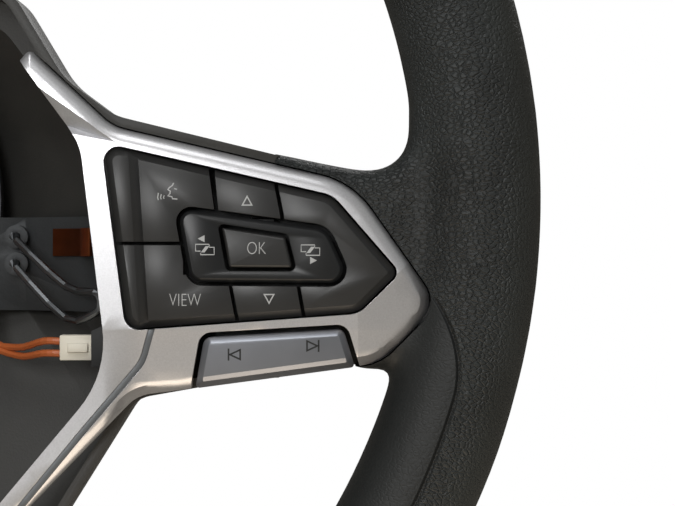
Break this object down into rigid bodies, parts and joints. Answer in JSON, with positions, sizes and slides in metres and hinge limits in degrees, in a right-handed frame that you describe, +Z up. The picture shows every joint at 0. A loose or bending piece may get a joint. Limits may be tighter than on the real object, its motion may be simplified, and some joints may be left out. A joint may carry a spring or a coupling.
{
  "type": "car steering wheel",
  "caption": "Round leather car steering wheel with two switch spokes, a split lower spoke and an open airbag pocket; splined column hub.",
  "frame": {"origin": "middle of the plain column bore, on the wheel's axis", "axes": "+X to the driver's right, +Z up at twelve o'clock, driver looks along +Y, the column leaves the hub along +Y"},
  "size_m": [0.37, 0.067, 0.37],
  "materials": {
    "cast_alloy": "as cast",
    "hub_steel": "machined",
    "foam": "moulded foam",
    "leather_grained": "grained, semi-matt",
    "leather_smooth": "smooth, semi-matt",
    "black_plastic": "fine spark texture",
    "satin_silver": "satin galvanic silver",
    "inlay_grey": "satin",
    "board": "solder resist",
    "dome_rubber": "moulded",
    "key_plastic": "soft matt paint",
    "rocker_metal": "satin galvanic silver",
    "spring_steel": "drawn wire",
    "contact_copper": "rolled strip",
    "plug_white": "moulded",
    "wire": "extruded sheath",
    "screw_steel": "black zinc"
  },
  "bodies": {
    "wheel": {"armature": "cast_alloy", "hub_insert": "hub_steel", "rim_foam": "foam", "grip_leather": "leather_grained", "thumb_leather_right": "leather_smooth", "thumb_leather_left": "leather_smooth", "rear_cover": "black_plastic", "trim_right": "satin_silver", "trim_left": "satin_silver", "inlay_right": "inlay_grey", "inlay_left": "inlay_grey", "key_frame_right": "black_plastic", "key_frame_left": "black_plastic", "switch_back_right": "black_plastic", "switch_back_left": "black_plastic", "board_right": "board", "board_left": "board", "dome_mat_right": "dome_rubber", "dome_mat_left": "dome_rubber", "wing_cover_right": "key_plastic", "wing_cover_left": "key_plastic", "module_clip_right": "spring_steel", "module_clip_left": "spring_steel", "horn_contact_right": "contact_copper", "horn_contact_left": "contact_copper", "switch_plug_right": "plug_white", "switch_plug_left": "plug_white", "main_plug": "black_plastic", "harness_right": "wire", "harness_left": "wire", "switch_screws": "screw_steel", "cover_screws": "screw_steel"},
    "voice_key": {"voice_key": "key_plastic"},
    "up_key": {"up_key": "key_plastic"},
    "view_key": {"view_key": "key_plastic"},
    "down_key": {"down_key": "key_plastic"},
    "ok_key": {"ok_key": "key_plastic"},
    "page_rocker": {"page_rocker": "key_plastic"},
    "track_rocker": {"track_rocker": "rocker_metal"},
    "assist_key": {"assist_key": "key_plastic"},
    "plus_key": {"plus_key": "key_plastic"},
    "resume_key": {"resume_key": "key_plastic"},
    "minus_key": {"minus_key": "key_plastic"},
    "set_key": {"set_key": "key_plastic"},
    "distance_rocker": {"distance_rocker": "key_plastic"},
    "speed_rocker": {"speed_rocker": "rocker_metal"}
  },
  "joints": [
    {"name": "voice_press", "type": "slide", "parent": "wheel", "child": "voice_key", "axis": [0, 1, 0], "range_m": [0, 0.001], "stiffness_N_per_m": 900},
    {"name": "up_press", "type": "slide", "parent": "wheel", "child": "up_key", "axis": [0, 1, 0], "range_m": [0, 0.001], "stiffness_N_per_m": 900},
    {"name": "view_press", "type": "slide", "parent": "wheel", "child": "view_key", "axis": [0, 1, 0], "range_m": [0, 0.001], "stiffness_N_per_m": 900},
    {"name": "down_press", "type": "slide", "parent": "wheel", "child": "down_key", "axis": [0, 1, 0], "range_m": [0, 0.001], "stiffness_N_per_m": 900},
    {"name": "ok_press", "type": "slide", "parent": "wheel", "child": "ok_key", "axis": [0, 1, 0], "range_m": [0, 0.001], "stiffness_N_per_m": 900},
    {"name": "assist_press", "type": "slide", "parent": "wheel", "child": "assist_key", "axis": [0, 1, 0], "range_m": [0, 0.001], "stiffness_N_per_m": 900},
    {"name": "plus_press", "type": "slide", "parent": "wheel", "child": "plus_key", "axis": [0, 1, 0], "range_m": [0, 0.001], "stiffness_N_per_m": 900},
    {"name": "resume_press", "type": "slide", "parent": "wheel", "child": "resume_key", "axis": [0, 1, 0], "range_m": [0, 0.001], "stiffness_N_per_m": 900},
    {"name": "minus_press", "type": "slide", "parent": "wheel", "child": "minus_key", "axis": [0, 1, 0], "range_m": [0, 0.001], "stiffness_N_per_m": 900},
    {"name": "set_press", "type": "slide", "parent": "wheel", "child": "set_key", "axis": [0, 1, 0], "range_m": [0, 0.001], "stiffness_N_per_m": 900},
    {"name": "page_tilt", "type": "hinge", "parent": "wheel", "child": "page_rocker", "pos_m": [0.11705, -0.0472, -0.0125], "axis": [0, 0, 1], "range_deg": [-2.5, 2.5], "stiffness_Nm_per_rad": 0.5},
    {"name": "track_tilt", "type": "hinge", "parent": "wheel", "child": "track_rocker", "pos_m": [0.1194, -0.0472, -0.038], "axis": [0, 0, 1], "range_deg": [-2, 2], "stiffness_Nm_per_rad": 0.5},
    {"name": "distance_tilt", "type": "hinge", "parent": "wheel", "child": "distance_rocker", "pos_m": [-0.11705, -0.0472, -0.0125], "axis": [0, 0, 1], "range_deg": [-2.5, 2.5], "stiffness_Nm_per_rad": 0.5},
    {"name": "speed_tilt", "type": "hinge", "parent": "wheel", "child": "speed_rocker", "pos_m": [-0.1194, -0.0472, -0.038], "axis": [0, 0, 1], "range_deg": [-2, 2], "stiffness_Nm_per_rad": 0.5}
  ]
}
